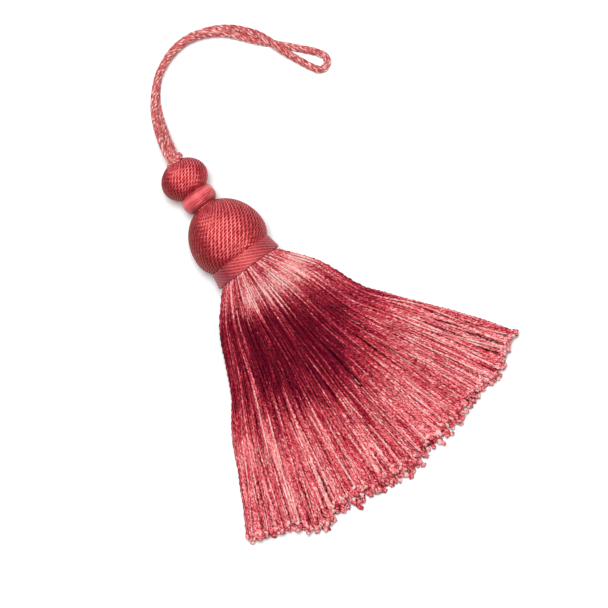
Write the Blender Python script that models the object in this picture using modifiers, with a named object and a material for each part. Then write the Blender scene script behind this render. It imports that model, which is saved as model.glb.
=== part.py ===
"""Key tassel lying on a table: a thread-covered head, a fanned skirt of cut yarn and a hanging loop.

Built in metres, +Z up. Y runs along the tassel, towards its cord, and the table is the plane Z = 0.
Sizes below are in millimetres. "Along" is a distance towards the cord from the middle of the collar.
"""

import math
import random

import bpy
from mathutils import Vector

MM = 0.001

# Head, turned about the tassel's axis
BALL_RADIUS = 11.9
BALL_WIDEST_ALONG = 8.1
BALL_UPPER_RISE = 13.35
BALL_LOWER_RISE = 9.6
BALL_TOP_ALONG = 20.85
BALL_FOOT_ALONG = 3.15
NECK_RADIUS = 4.8
FLAT_SPOT_DEPTH = 0.2

BEAD_RADIUS = 7.4
BEAD_WIDEST_ALONG = 31.2
BEAD_UPPER_RISE = 6.3
BEAD_LOWER_RISE = 5.85
BEAD_TOP_ALONG = 36.85
BEAD_FOOT_ALONG = 26.7

GAP = 0.3
NECK_RING_BULGE = 5.45
NECK_RING_EDGE = 4.7
KNOT_RADIUS = 2.8
KNOT_THICKNESS = 1.4

# Collar that binds the skirt under the ball
COLLAR_TOP_ALONG = BALL_FOOT_ALONG - GAP
COLLAR_FOOT_ALONG = -1.7
COLLAR_TOP_RADIUS = 10.3
COLLAR_FOOT_RADIUS = 11.05
COLLAR_TOP_BORE = 9.0
COLLAR_FOOT_BORE = 9.9

# The axis lies at the ball's radius above the table, less its flat spot
AXIS_HEIGHT = BALL_RADIUS - FLAT_SPOT_DEPTH

# Heading: the yarn packed solid inside the collar, springing out in a roll below it
HEADING_ROLL = (
    (COLLAR_FOOT_BORE - GAP, COLLAR_FOOT_ALONG + 0.1),
    (COLLAR_FOOT_BORE + 0.4, COLLAR_FOOT_ALONG - 0.36),
    (11.2, -2.45),
    (11.5, -3.0),
    (11.1, -3.6),
)
HEADING_FOOT_ALONG = HEADING_ROLL[-1][1]

# Skirt of cut yarn
STRANDS = 241
STRAND_LENGTH = 73.4
EDGE_STRANDS_LONGER = 2.8
HIDDEN_STRANDS_LONGER = 2.8
STRAND_LENGTH_SPREAD = 0.5
ROWS_AT_HEM = 5
ROW_RISE = 1.05
ROOT_RADIUS = 10.5
ROOT_SHARE = 0.964
ROOT_DEPTH = 1.2
PILE_FALL = 1.99
UNDERSIDE_FALL = 1.85
# Places along a strand, as shares of its length, then its thickness and the fan's two edges there
STATIONS = (0.0, 0.119, 0.402, 0.622, 1.0)
THICKNESSES = (0.45, 0.55, 0.67, 0.72, 0.87)
FAN_LEFT = (0.0, 7.0, 16.1, 24.7, 38.8)
FAN_RIGHT = (0.0, 6.9, 16.3, 26.7, 44.5)
SETTLED = STATIONS[3]
GOLDEN_TURN = (math.sqrt(5) - 1) / 2
FIRST_LEVEL = 0.754

# Hanging cord: one twisted cord doubled into a pair of legs, with an eye at its far end
CORD_RADIUS = 1.12
CORD_VALLEY = 0.92
CORD_PLIES = 3
CORD_LAY = 6.0
CORD_STEP = 0.75
EYE_STEPS = 6
# The pair's middle line: x and y along the table, how far it is held up over its rest,
# the turn of one leg round the other, and the distance between the two legs' middles
CORD_ROUTE_COLUMNS = ("x", "y", "lift", "turn", "spread")
CORD_ROUTE = (
    (0.6, 39.5, 9.6, 56, 2.45),
    (1.1, 42.2, 8.6, 50, 2.45),
    (2.0, 45.5, 5.9, 47, 2.45),
    (3.5, 49.2, 2.9, 50, 2.45),
    (5.7, 53.3, 0.8, 64, 2.45),
    (8.7, 57.4, 0.0, 86, 2.45),
    (12.9, 61.1, 0.0, 99, 2.45),
    (18.7, 63.6, 0.0, 104, 2.45),
    (24.9, 64.4, 0.0, 107, 2.45),
    (30.9, 63.1, 0.0, 112, 2.45),
    (36.5, 59.6, 0.0, 134, 2.45),
    (41.1, 54.4, 0.0, 174, 2.45),
    (44.2, 50.0, 0.0, 228, 2.45),
    (46.8, 46.2, 0.0, 296, 2.5),
    (49.8, 41.4, 0.0, 350, 3.5),
    (52.0, 38.2, 0.0, 360, 4.6),
    (53.5, 36.0, 0.0, 360, 4.9),
)

CORAL = (0.62, 0.11, 0.11, 1.0)
ROSE = (0.56, 0.13, 0.15, 1.0)
VARIEGATED = (0.42, 0.06, 0.08, 1.0)


def material(name, colour, roughness):
    """Principled material with a plain colour."""
    made = bpy.data.materials.new(name)
    made.use_nodes = True
    shader = made.node_tree.nodes["Principled BSDF"]
    shader.inputs["Base Color"].default_value = colour
    shader.inputs["Roughness"].default_value = roughness
    shader.inputs["Metallic"].default_value = 0.0
    made.diffuse_color = colour
    return made


def mix(start, end, share):
    return start + (end - start) * share


def new_collection(name):
    made = bpy.data.collections.new(name)
    bpy.context.scene.collection.children.link(made)
    return made


def place_on_axis(piece, along=0.0):
    """Lays a piece turned about its own Z along the tassel's axis."""
    piece.rotation_euler = (-math.pi / 2, 0.0, 0.0)
    piece.location = (0.0, along * MM, AXIS_HEIGHT * MM)


def turned(name, profile, finish, shelf, steps=36, closed=False):
    """Profile of (radius, along) points, run down the outer side, screwed round the axis."""
    mesh = bpy.data.meshes.new(name)
    edges = [(i, i + 1) for i in range(len(profile) - 1)]
    if closed:
        edges.append((len(profile) - 1, 0))
    mesh.from_pydata([(radius * MM, 0.0, along * MM) for radius, along in profile], edges, [])
    mesh.materials.append(finish)
    piece = bpy.data.objects.new(name, mesh)
    shelf.objects.link(piece)
    place_on_axis(piece)
    screw = piece.modifiers.new("turning", "SCREW")
    screw.axis = "Z"
    screw.steps = steps
    screw.render_steps = steps
    screw.use_merge_vertices = True
    screw.merge_threshold = 0.00001
    screw.use_smooth_shade = True
    return piece


def bulge(radius, widest, upper_rise, lower_rise, top, foot, rings, least=0.0):
    """Outer side of a rounded head piece, top to bottom, as (radius, along) points."""
    points = []
    for ring in range(rings + 1):
        swing = -math.cos(math.pi * ring / rings)
        along = mix(top, foot, (1 + swing) / 2)
        rise = upper_rise if along > widest else lower_rise
        share = (along - widest) / rise
        points.append((max(least, radius * math.sqrt(max(0.0, 1 - share * share))), along))
    return points


def solid_profile(side):
    """Closes an outer side to the axis at both ends."""
    return [(0.0, side[0][1]), *side, (0.0, side[-1][1])]


def make_ball(finish, shelf, cutters):
    """Large covered ball, with the flat spot that it rests on."""
    side = bulge(BALL_RADIUS, BALL_WIDEST_ALONG, BALL_UPPER_RISE, BALL_LOWER_RISE,
                 BALL_TOP_ALONG, BALL_FOOT_ALONG, 14, NECK_RADIUS)
    ball = turned("ball_large", solid_profile(side), finish, shelf, 40)
    bpy.ops.mesh.primitive_cube_add(size=4 * BALL_RADIUS * MM)
    table = bpy.context.object
    table.name = "table_cutter"
    table.location = (0.0, BALL_WIDEST_ALONG * MM, -2 * BALL_RADIUS * MM)
    table.hide_render = True
    table.display_type = "WIRE"
    for home in list(table.users_collection):
        home.objects.unlink(table)
    cutters.objects.link(table)
    flat = ball.modifiers.new("flat_spot", "BOOLEAN")
    flat.operation = "DIFFERENCE"
    flat.solver = "EXACT"
    flat.object = table
    return ball, table


def make_bead(finish, shelf):
    """Small flattened ball at the top of the head."""
    side = bulge(BEAD_RADIUS, BEAD_WIDEST_ALONG, BEAD_UPPER_RISE, BEAD_LOWER_RISE,
                 BEAD_TOP_ALONG, BEAD_FOOT_ALONG, 12)
    return turned("ball_small", solid_profile(side), finish, shelf, 32)


def rounded_band(edge, crest, top, foot, rings):
    """Outer side of a wound ring, from its edge radius out to its crest and back."""
    points = []
    for ring in range(rings + 1):
        turn = math.pi * ring / rings
        radius = edge + (crest - edge) * math.sin(turn)
        points.append((radius, mix(top, foot, (1 - math.cos(turn)) / 2)))
    return points


def make_neck_ring(finish, shelf):
    """Ring of smooth floss wound between the two balls."""
    side = rounded_band(NECK_RING_EDGE, NECK_RING_BULGE, BEAD_FOOT_ALONG - GAP, BALL_TOP_ALONG + GAP, 8)
    return turned("neck_ring", solid_profile(side), finish, shelf, 28)


def make_knot(finish, shelf):
    """Button of twisted thread where the cord comes out of the head."""
    foot = BEAD_TOP_ALONG + GAP
    side = rounded_band(KNOT_RADIUS - 0.7, KNOT_RADIUS, foot + KNOT_THICKNESS, foot, 6)
    return turned("top_knot", solid_profile(side), finish, shelf, 20)


def make_collar(finish, shelf):
    """Flared gimp band round the head of the skirt."""
    profile = [
        (COLLAR_TOP_BORE, COLLAR_TOP_ALONG),
        (COLLAR_TOP_RADIUS - 0.25, COLLAR_TOP_ALONG),
        (COLLAR_TOP_RADIUS, COLLAR_TOP_ALONG - 0.4),
        (mix(COLLAR_TOP_RADIUS, COLLAR_FOOT_RADIUS, 0.45), mix(COLLAR_TOP_ALONG, COLLAR_FOOT_ALONG, 0.5)),
        (COLLAR_FOOT_RADIUS, COLLAR_FOOT_ALONG + 0.5),
        (COLLAR_FOOT_RADIUS - 0.2, COLLAR_FOOT_ALONG),
        (COLLAR_FOOT_BORE, COLLAR_FOOT_ALONG),
    ]
    return turned("collar", profile, finish, shelf, 36, closed=True)


def disc_place(share):
    """Sideways place in a unit disc that leaves this share (-1 to 1) of its area to one side."""
    low, high = -1.0, 1.0
    for _ in range(24):
        middle = (low + high) / 2
        area = 2 / math.pi * (middle * math.sqrt(1 - middle * middle) + math.asin(middle))
        if area < share:
            low = middle
        else:
            high = middle
    return (low + high) / 2


def strand_line(number, chance):
    """One strand's stations from its root to the hem, each with its thickness, in millimetres.

    Golden-section steps between one strand's level and the next keep every strand clear of the
    others, both in the round bundle at the collar and in the level rows at the hem.
    """
    share = 2 * (number + 0.5) / STRANDS - 1
    level = (number * GOLDEN_TURN + FIRST_LEVEL) % 1.0
    row = int(level * ROWS_AT_HEM)
    root = disc_place(share * ROOT_SHARE)
    root_rise = ROOT_RADIUS * math.sqrt(1 - root**2)
    hidden = (1 - row / (ROWS_AT_HEM - 1)) * max(0.0, 1 - abs(share / 0.8) ** 3)
    length = STRAND_LENGTH + EDGE_STRANDS_LONGER * share**2
    uneven_end = HIDDEN_STRANDS_LONGER * hidden + chance.uniform(-STRAND_LENGTH_SPREAD, STRAND_LENGTH_SPREAD)
    fan = FAN_RIGHT if share > 0 else FAN_LEFT
    line = []
    for station, thickness, edge in zip(STATIONS, THICKNESSES, fan):
        pile = mix((ROWS_AT_HEM - 1) * ROW_RISE, 2 * root_rise, (1 - station) ** PILE_FALL)
        fall = max(0.0, 1 - station / SETTLED) ** UNDERSIDE_FALL
        underside = mix(thickness / 2, AXIS_HEIGHT - root_rise, fall)
        height = underside + level * pile
        if station == 1.0:
            height = thickness / 2 + row * ROW_RISE
        place = Vector((ROOT_RADIUS * root + edge * share, HEADING_FOOT_ALONG + ROOT_DEPTH, height))
        if line:
            last = line[-1][0]
            reach = length * (station - STATIONS[len(line) - 1])
            if len(line) == 1:
                reach += ROOT_DEPTH
            if station == 1.0:
                reach += uneven_end
            place.y = last.y - math.sqrt(reach**2 - (place.x - last.x) ** 2 - (place.z - last.z) ** 2)
        line.append((place, thickness))
    return line


def strand_lines():
    chance = random.Random(4)
    return [strand_line(number, chance) for number in range(STRANDS)]


def strand_section(shelf):
    """Square section of one strand, a millimetre across, to be scaled by each point's radius."""
    outline = bpy.data.curves.new("strand_section", "CURVE")
    outline.dimensions = "2D"
    edge = outline.splines.new("POLY")
    edge.points.add(3)
    for point, (x, y) in zip(edge.points, ((1, 1), (-1, 1), (-1, -1), (1, -1))):
        point.co = (x * MM / 2, y * MM / 2, 0.0, 1.0)
    edge.use_cyclic_u = True
    return guide("strand_section", outline, shelf)


def guide(name, data, shelf):
    """Helper object that the build leaves out."""
    made = bpy.data.objects.new(name, data)
    made.hide_render = True
    made.display_type = "WIRE"
    shelf.objects.link(made)
    return made


def swept(name, lines, section, twist_mode, shelf):
    """Curve object with one straight-stepped spline for each line of (place, scale, tilt) points."""
    curve = bpy.data.curves.new(name, "CURVE")
    curve.dimensions = "3D"
    curve.twist_mode = twist_mode
    curve.bevel_mode = "OBJECT"
    curve.bevel_object = section
    curve.use_fill_caps = True
    for line in lines:
        spline = curve.splines.new("POLY")
        spline.points.add(len(line) - 1)
        for point, (place, scale, tilt) in zip(spline.points, line):
            point.co = (*(place * MM), 1.0)
            point.radius = scale
            point.tilt = tilt
    made = bpy.data.objects.new(name, curve)
    shelf.objects.link(made)
    return made


def as_mesh(source, name, finish, shelf):
    """Replaces a curve object with a closed mesh of the same shape."""
    import bmesh
    bpy.context.view_layer.update()
    evaluated = source.evaluated_get(bpy.context.evaluated_depsgraph_get())
    mesh = bpy.data.meshes.new_from_object(evaluated)
    work = bmesh.new()
    work.from_mesh(mesh)
    bmesh.ops.remove_doubles(work, verts=work.verts, dist=0.000002)
    bmesh.ops.recalc_face_normals(work, faces=work.faces)
    work.to_mesh(mesh)
    work.free()
    mesh.name = name
    mesh.materials.clear()
    mesh.materials.append(finish)
    made = bpy.data.objects.new(name, mesh)
    made.matrix_world = source.matrix_world
    shelf.objects.link(made)
    bpy.data.objects.remove(source)
    return made


def make_skirt(finish, shelf, cutters):
    """Strands standing apart, their roots fused into the bound heading inside the collar."""
    section = strand_section(cutters)
    lines = [[(place, thickness, 0.0) for place, thickness in line] for line in strand_lines()]
    strands = as_mesh(swept("strand_lines", lines, section, "Z_UP", cutters), "strands", finish, cutters)
    strands.hide_render = True
    strands.display_type = "WIRE"
    profile = [
        (0.0, COLLAR_TOP_ALONG),
        (COLLAR_TOP_BORE - GAP, COLLAR_TOP_ALONG),
        *HEADING_ROLL,
        (0.0, HEADING_FOOT_ALONG),
    ]
    skirt = turned("skirt", profile, finish, shelf, 36)
    fuse = skirt.modifiers.new("rooted_strands", "BOOLEAN")
    fuse.operation = "UNION"
    fuse.solver = "EXACT"
    fuse.object = strands
    return skirt, strands


def smooth(rows, share):
    """Catmull-Rom reading of a table of vectors, at a share (0 to 1) of its rows."""
    place = share * (len(rows) - 1)
    first = min(int(place), len(rows) - 2)
    t = place - first
    before = rows[max(first - 1, 0)]
    start, end = rows[first], rows[first + 1]
    after = rows[min(first + 2, len(rows) - 1)]
    return (
        start * 2
        + (end - before) * t
        + (before * 2 - start * 5 + end * 4 - after) * t**2
        + (start * 3 - before - end * 3 + after) * t**3
    ) / 2


def pair_frame(share):
    """Middle of the pair at a share of its route, the level direction across it, turn and spread."""
    rows = [Vector(row) for row in CORD_ROUTE]
    x, y, lift, turn, spread = smooth(rows, share)
    ahead = smooth(rows, min(1.0, share + 0.01))
    behind = smooth(rows, max(0.0, share - 0.01))
    along = Vector((ahead[0] - behind[0], ahead[1] - behind[1], 0.0)).normalized()
    across = Vector((-along.y, along.x, 0.0))
    return Vector((x, y, 0.0)), along, across, max(0.0, lift), math.radians(turn), spread


def leg_point(share, side):
    """Middle of one leg (side 1 or -1); the lower of the two lies on the table where nothing lifts it."""
    place, _, across, lift, turn, spread = pair_frame(share)
    height = CORD_RADIUS + lift + spread / 2 * (abs(math.sin(turn)) + side * math.sin(turn))
    return place + across * (side * spread / 2 * math.cos(turn)) + Vector((0.0, 0.0, height))


def cord_line():
    """The cord's middle line: out along one leg, round the eye's end and back along the other."""
    readings = 400
    shares = [i / readings for i in range(readings + 1)]
    out = [leg_point(share, 1) for share in shares]
    back = [leg_point(share, -1) for share in reversed(shares)]
    centre = (out[-1] + back[0]) / 2
    _, along, _, _, _, spread = pair_frame(1.0)
    start = out[-1] - centre
    eye = []
    for step in range(1, EYE_STEPS * 4):
        turn = math.pi * step / (EYE_STEPS * 4)
        eye.append(centre + start * math.cos(turn) + along * (spread / 2 * math.sin(turn)))
    return even_points(out + eye + back, CORD_STEP)


def even_points(line, step):
    """The same line with points about one step apart."""
    lengths = [0.0]
    for a, b in zip(line, line[1:]):
        lengths.append(lengths[-1] + (b - a).length)
    count = round(lengths[-1] / step)
    points, index = [], 0
    for number in range(count + 1):
        target = lengths[-1] * number / count
        while index < len(line) - 2 and lengths[index + 1] < target:
            index += 1
        reach = lengths[index + 1] - lengths[index]
        share = (target - lengths[index]) / reach if reach else 0.0
        points.append(line[index].lerp(line[index + 1], share))
    return points


def cord_section(shelf):
    """Three-lobed section of the twisted cord, crest to valley."""
    outline = bpy.data.curves.new("cord_section", "CURVE")
    outline.dimensions = "2D"
    edge = outline.splines.new("POLY")
    corners = 2 * CORD_PLIES
    edge.points.add(corners - 1)
    for number, point in enumerate(edge.points):
        radius = CORD_VALLEY if number % 2 else CORD_RADIUS
        turn = 2 * math.pi * number / corners
        point.co = (radius * math.cos(turn) * MM, radius * math.sin(turn) * MM, 0.0, 1.0)
    edge.use_cyclic_u = True
    return guide("cord_section", outline, shelf)


def make_cord(finish, shelf, cutters):
    """Doubled hanging cord with its eye, twisted by the tilt of its points."""
    places = cord_line()
    line = [(place, 1.0, 2 * math.pi * CORD_STEP * i / CORD_LAY) for i, place in enumerate(places)]
    curve = swept("cord", [line], cord_section(cutters), "MINIMUM", cutters)
    return as_mesh(curve, "hanging_cord", finish, shelf)


def centre_on_origin(parts, followers):
    """Moves everything so that the footprint of the parts is centred on the origin."""
    bpy.context.view_layer.update()
    graph = bpy.context.evaluated_depsgraph_get()
    places = []
    for part in parts:
        evaluated = part.evaluated_get(graph)
        matrix = evaluated.matrix_world
        places.extend(matrix @ vertex.co for vertex in evaluated.to_mesh().vertices)
        evaluated.to_mesh_clear()
    middle_x = (min(p.x for p in places) + max(p.x for p in places)) / 2
    middle_y = (min(p.y for p in places) + max(p.y for p in places)) / 2
    holder = bpy.data.objects.new("key_tassel_frame", None)
    bpy.context.scene.collection.objects.link(holder)
    for piece in [*parts, *followers]:
        piece.parent = holder
    holder.location = (-middle_x, -middle_y, 0.0)


def main():
    for old in list(bpy.data.objects):
        bpy.data.objects.remove(old)
    shelf = new_collection("key_tassel")
    cutters = new_collection("cutters")
    cover = material("ball_cover", CORAL, 0.5)
    floss = material("ring_floss", ROSE, 0.45)
    yarn = material("skirt_yarn", VARIEGATED, 0.55)
    rope = material("cord_yarn", ROSE, 0.5)
    ball, table = make_ball(cover, shelf, cutters)
    skirt, strands = make_skirt(yarn, shelf, cutters)
    cord = make_cord(rope, shelf, cutters)
    parts = [
        ball,
        make_bead(cover, shelf),
        make_neck_ring(floss, shelf),
        make_knot(rope, shelf),
        make_collar(floss, shelf),
        skirt,
    ]
    centre_on_origin(parts, [table, strands, cord])


main()
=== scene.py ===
"""Looks of the key tassel: thread-covered head, collar, space-dyed skirt of cut yarn and hanging cord.

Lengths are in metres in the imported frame. Inside this file sizes are worked out in millimetres,
where "along" is a distance towards the cord from the middle of the collar.
"""

import math

import bpy
import numpy as np
from bpy.props import FloatProperty, FloatVectorProperty, IntProperty, PointerProperty
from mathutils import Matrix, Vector


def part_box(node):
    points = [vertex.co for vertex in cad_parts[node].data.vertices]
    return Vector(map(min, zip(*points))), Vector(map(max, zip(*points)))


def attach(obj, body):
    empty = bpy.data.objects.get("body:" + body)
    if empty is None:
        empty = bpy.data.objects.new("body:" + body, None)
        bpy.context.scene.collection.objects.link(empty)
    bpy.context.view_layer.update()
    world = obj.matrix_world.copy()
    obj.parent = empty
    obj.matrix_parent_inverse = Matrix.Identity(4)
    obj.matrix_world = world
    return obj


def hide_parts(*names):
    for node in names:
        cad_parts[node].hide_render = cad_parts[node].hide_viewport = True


bl_info = {
    "name": "Key Tassel",
    "version": (1, 0, 0),
    "blender": (4, 5, 0),
    "location": "View3D > Sidebar > Key Tassel",
    "description": "Makes the threads, yarns and stage of a key tassel round its packed frame",
    "category": "Add Mesh",
}

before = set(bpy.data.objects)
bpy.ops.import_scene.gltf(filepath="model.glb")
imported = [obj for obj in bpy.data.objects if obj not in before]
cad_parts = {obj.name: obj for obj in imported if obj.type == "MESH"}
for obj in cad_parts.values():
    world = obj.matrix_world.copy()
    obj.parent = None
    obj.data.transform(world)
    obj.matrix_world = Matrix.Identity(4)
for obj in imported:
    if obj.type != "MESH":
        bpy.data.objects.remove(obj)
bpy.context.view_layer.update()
MM = 0.001

# The head's axis, read from the large ball
BALL_LOW, BALL_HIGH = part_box("ball_large")
BALL_RADIUS = 11.9
BALL_FOOT_ALONG = 3.15
HEAD_X = (BALL_LOW.x + BALL_HIGH.x) / 2 / MM
HEAD_Y = BALL_LOW.y / MM - BALL_FOOT_ALONG
AXIS_HEIGHT = BALL_HIGH.z / MM - BALL_RADIUS

# Head forms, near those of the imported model. Rises are half lengths above and below the widest place,
# and the end radii are where the covers close
BALL_WIDEST = 8.1
BALL_RISES = (13.35, 9.6)
BALL_ENDS = (21.3, 1.2)
BALL_END_RADIUS = 4.0
BEAD_RADIUS = 7.4
BEAD_WIDEST = 30.8
BEAD_RISES = (6.3, 5.85)
BEAD_ENDS = (36.9, 25.4)
BEAD_END_RADIUS = 0.6
RING_MIDDLE = 23.65
RING_HALF = 2.75
RING_RADII = (3.7, 5.45)
RING_THREAD_PITCH = 0.7
RING_THREAD_GROOVE = 0.08
# Section of the collar: radius and along
COLLAR_OUTSIDE = (
    (8.9, 2.2), (9.6, 2.95), (10.0, 3.0), (10.3, 2.7), (10.42, 2.2), (10.64, 0.6),
    (10.9, -0.8), (11.0, -1.3), (10.95, -1.65), (10.6, -1.85), (9.9, -1.7), (9.2, -1.0),
)
COLLAR_INSIDE = 9.9
COLLAR_RADIUS = 10.7
COLLAR_SLANT = math.radians(25)
COLLAR_GROOVE = 0.22

# Knot: one turn and a third of twisted thread round the cord's foot
KNOT_ASIDE = 1.0
KNOT_ALONG = 36.8
KNOT_LIFT = 1.3
KNOT_TURNS = 1.35
KNOT_RADII = (2.35, 2.0)
KNOT_FLATNESS = 0.72
KNOT_THREAD_RADIUS = 0.95
KNOT_LAY = 9.0
KNOT_PLIES = 5

# Skirt flow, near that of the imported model, with shoulders a little narrower. The falls are powers
STRAND_LENGTH = 73.4
EDGE_LONGER = 2.8
HIDDEN_LONGER = 2.8
ROOT_ALONG = -2.4
ROOT_LEAD = 2.2
ROOT_RADIUS = 10.5
ROOT_SHARE = 0.964
HEM_PILE = 4.2
PILE_FALL = 1.99
UNDERSIDE_FALL = 1.85
SETTLED = 0.622
# Fan: how far the outermost yarns stand out from their roots, at stations of their length
STATIONS = (0.0, 0.119, 0.402, SETTLED, 1.0)
FAN_LEFT = (0.0, 6.1, 16.1, 25.2, 39.1)
FAN_RIGHT = (0.0, 6.0, 15.6, 26.4, 44.8)
# How far the yarns draw in at the heading: distance below the root, share of their full spread
NECK = ((-2.2, 0.86), (-1.0, 0.92), (0.2, 0.985), (2.4, 0.995), (5.0, 0.985), (9.0, 0.985), (14.0, 1.0))
# Waves of a yarn, two across and two upwards: size and bends
SWAYS = ((0.3, 2 * math.pi), (0.12, 9), (0.22, 2 * math.pi), (0.1, 11))
# Steps between the rings of a yarn, on top of the skirt and under it
TOP_STEP = 0.42
UNDER_STEP = 0.8
# Section of a yarn: two full plies with hollows between them
PLY_PAIR = (1.0, 0.68, 1.0, 0.68)
# Golden share, which spreads the yarns through the pile without a pattern
GOLDEN = (math.sqrt(5) - 1) / 2
# Tufts that stand out of the cut hem: where, how wide and how much longer
TUFTS = (
    (-0.98, 0.08, 0.3),
    (-0.62, 0.07, 3.0),
    (-0.33, 0.15, -1.3),
    (0.07, 0.05, 1.7),
    (0.8, 0.1, 2.2),
)

# The cord pair's middle line: x, y, lift, turn of one leg round the other, spread of the legs
CORD_ROUTE = (
    (0.6, 37.4, 10.0, 36, 1.6),
    (1.0, 39.4, 9.6, 34, 2.35),
    (1.6, 42.1, 8.6, 34, 2.45),
    (2.4, 45.4, 5.9, 38, 2.45),
    (3.6, 49.2, 2.9, 48, 2.45),
    (5.4, 53.5, 0.8, 64, 2.45),
    (8.3, 57.7, 0.0, 82, 2.45),
    (12.5, 61.7, 0.0, 92, 2.45),
    (18.4, 64.5, 0.0, 100, 2.45),
    (24.9, 65.3, 0.0, 106, 2.3),
    (31.1, 63.7, 0.0, 116, 2.25),
    (36.9, 60.2, 0.0, 142, 2.25),
    (41.7, 54.9, 0.0, 190, 2.25),
    (44.8, 50.4, 0.0, 254, 2.3),
    (47.2, 46.5, 0.0, 306, 2.5),
    (50.3, 41.8, 0.0, 350, 3.5),
    (52.5, 38.5, 0.0, 360, 4.6),
    (53.9, 36.3, 0.0, 360, 4.8),
)
# Height of a leg that lies on the table, and the make of the cord
CORD_REACH = 1.12
ROPE_RADIUS = 1.19
CORD_PLIES = 6
PLY_YARN_PITCH = 1.3
# Steps along the cord: between the rings of its mesh, and between the points of its path
CORD_STEP = 0.24
CORD_PATH_STEP = 0.75

# Stage, in metres, with the camera over the middle of the picture
CAMERA_PLACE = (0.00398, 0.00065)
FLOOR_HALF = 1.5
FLOOR_DROP = 0.0001
LAMP_PLACE = (0.035, 0.14, 0.94)
LAMP_WIDTH = 0.3
# Camera, in millimetres
LENS = 150
SENSOR = 36


def dyed(red, green, blue):
    """Linear colour of a dye named by its screen values."""
    return tuple(
        c / 255 / 12.92 if c / 255 <= 0.04045 else ((c / 255 + 0.055) / 1.055) ** 2.4
        for c in (red, green, blue)
    )


def colour_setting(name, description, screen):
    """Colour that a user can change, from its screen values."""
    return FloatVectorProperty(
        name=name, description=description, default=dyed(*screen),
        size=3, min=0.0, max=1.0, subtype="COLOR",
    )


class TASSEL_PG_head(bpy.types.PropertyGroup):
    """Threads that cover the head."""

    ball_columns: IntProperty(
        name="Columns round the large ball",
        description="Rows of thread loops side by side round the large ball",
        default=48, min=8, max=96, step=2,
    )
    bead_columns: IntProperty(
        name="Columns round the small ball",
        description="Rows of thread loops side by side round the small ball",
        default=36, min=8, max=96, step=2,
    )
    loop_length: FloatProperty(
        name="Loop length",
        description="Distance from one thread loop to the next along a column",
        default=0.00095, min=0.0004, max=0.004, unit="LENGTH",
    )
    groove_depth: FloatProperty(
        name="Groove depth",
        description="Depth of the grooves between the columns",
        default=0.0004, min=0.0, max=0.001, unit="LENGTH",
    )
    column_slant: FloatProperty(
        name="Column slant",
        description="Angle of the columns to the head's axis",
        default=math.radians(36.2), subtype="ANGLE",
    )
    collar_threads: IntProperty(
        name="Collar threads",
        description="Slanting threads round the collar",
        default=31, min=10, max=90,
    )
    cover_colour: colour_setting("Cover", "Thread on the two balls", (208, 76, 80))
    # Painted shade: the cover thread, darkened where it lies deep in the pits
    pit_shade_colour: colour_setting("Cover pits", "The same thread deep between its loops", (128, 0, 16))
    floss_colour: colour_setting("Floss", "Thread of the neck ring and the collar", (190, 72, 78))


class TASSEL_PG_skirt(bpy.types.PropertyGroup):
    """Cut yarns of the skirt."""

    top_yarns: IntProperty(
        name="Top yarns", description="Yarns that lie on top of the skirt", default=260, min=20, max=400,
    )
    under_yarns: IntProperty(
        name="Under yarns", description="Yarns inside and under the skirt", default=240, min=20, max=400,
    )
    yarn_width: FloatProperty(
        name="Yarn width", description="Width of one twisted yarn",
        default=0.00092, min=0.0003, max=0.002, unit="LENGTH",
    )
    twist_length: FloatProperty(
        name="Twist length", description="Length of one full turn of a yarn's two plies",
        default=0.0038, min=0.0008, max=0.01, unit="LENGTH",
    )
    curl_length: FloatProperty(
        name="Curl length", description="Length of the curled end of a cut yarn",
        default=0.0017, min=0.0, max=0.01, unit="LENGTH",
    )
    pale: colour_setting("Palest dye", "Yarn where it took almost no dye", (252, 202, 198))
    rose: colour_setting("Rose dye", "Yarn where it took a light dye", (230, 95, 106))
    red: colour_setting("Red dye", "Yarn where it took a full dye", (168, 30, 52))
    crimson: colour_setting("Crimson dye", "Yarn where the dye is deepest", (86, 0, 22))


class TASSEL_PG_cord(bpy.types.PropertyGroup):
    """Twisted hanging cord."""

    lay: FloatProperty(
        name="Lay", description="Length of one full turn of the cord's plies",
        default=0.015, min=0.002, max=0.02, unit="LENGTH",
    )
    cord_colour: colour_setting("Cord", "Red yarn in the cord", (200, 96, 100))
    # Pale flecks of the cord: pale yarn and painted highlights on the crowns of the plies together
    cord_pale_and_highlight: colour_setting("Cord light", "Pale yarn in the cord", (238, 206, 196))


class TASSEL_PG_stage(bpy.types.PropertyGroup):
    """Camera, floor and lights."""

    camera_height: FloatProperty(
        name="Camera height", description="Height of the camera over the table",
        default=0.768, min=0.2, max=3.0, unit="LENGTH",
    )
    camera_turn: FloatProperty(
        name="Camera turn", description="Turn of the camera about the upright",
        default=math.radians(-36.2), subtype="ANGLE",
    )
    lamp_power: FloatProperty(
        name="Lamp power", description="Power of the soft lamp over the table",
        default=9.3, min=0.0, max=100.0, unit="POWER",
    )
    room_light: FloatProperty(
        name="Room light", description="Strength of the even white light all round",
        default=0.28, min=0.0, max=5.0,
    )
    floor_colour: colour_setting("Floor", "Plain pale floor", (250, 250, 250))


def smooth_rows(rows, share):
    """Catmull-Rom reading of a table at shares (0 to 1) of its rows."""
    rows = np.asarray(rows, float)
    place = np.clip(np.asarray(share, float), 0, 1) * (len(rows) - 1)
    first = np.minimum(place.astype(int), len(rows) - 2)
    t = (place - first)[..., None]
    before = rows[np.maximum(first - 1, 0)]
    start, end = rows[first], rows[first + 1]
    after = rows[np.minimum(first + 2, len(rows) - 1)]
    bend = before * 2 - start * 5 + end * 4 - after
    twist = start * 3 - before - end * 3 + after
    return (start * 2 + (end - before) * t + bend * t**2 + twist * t**3) / 2


def run_along(line):
    """Distance along a line at each of its points."""
    return np.concatenate([[0], np.cumsum(np.linalg.norm(np.diff(line, axis=0), axis=1))])


def even_line(line, step):
    """The same line with points about one step apart."""
    line = np.asarray(line, float)
    reach = run_along(line)
    count = max(2, round(reach[-1] / step))
    places = np.linspace(0, reach[-1], count + 1)
    return np.stack([np.interp(places, reach, line[:, axis]) for axis in range(3)], axis=1)


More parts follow.
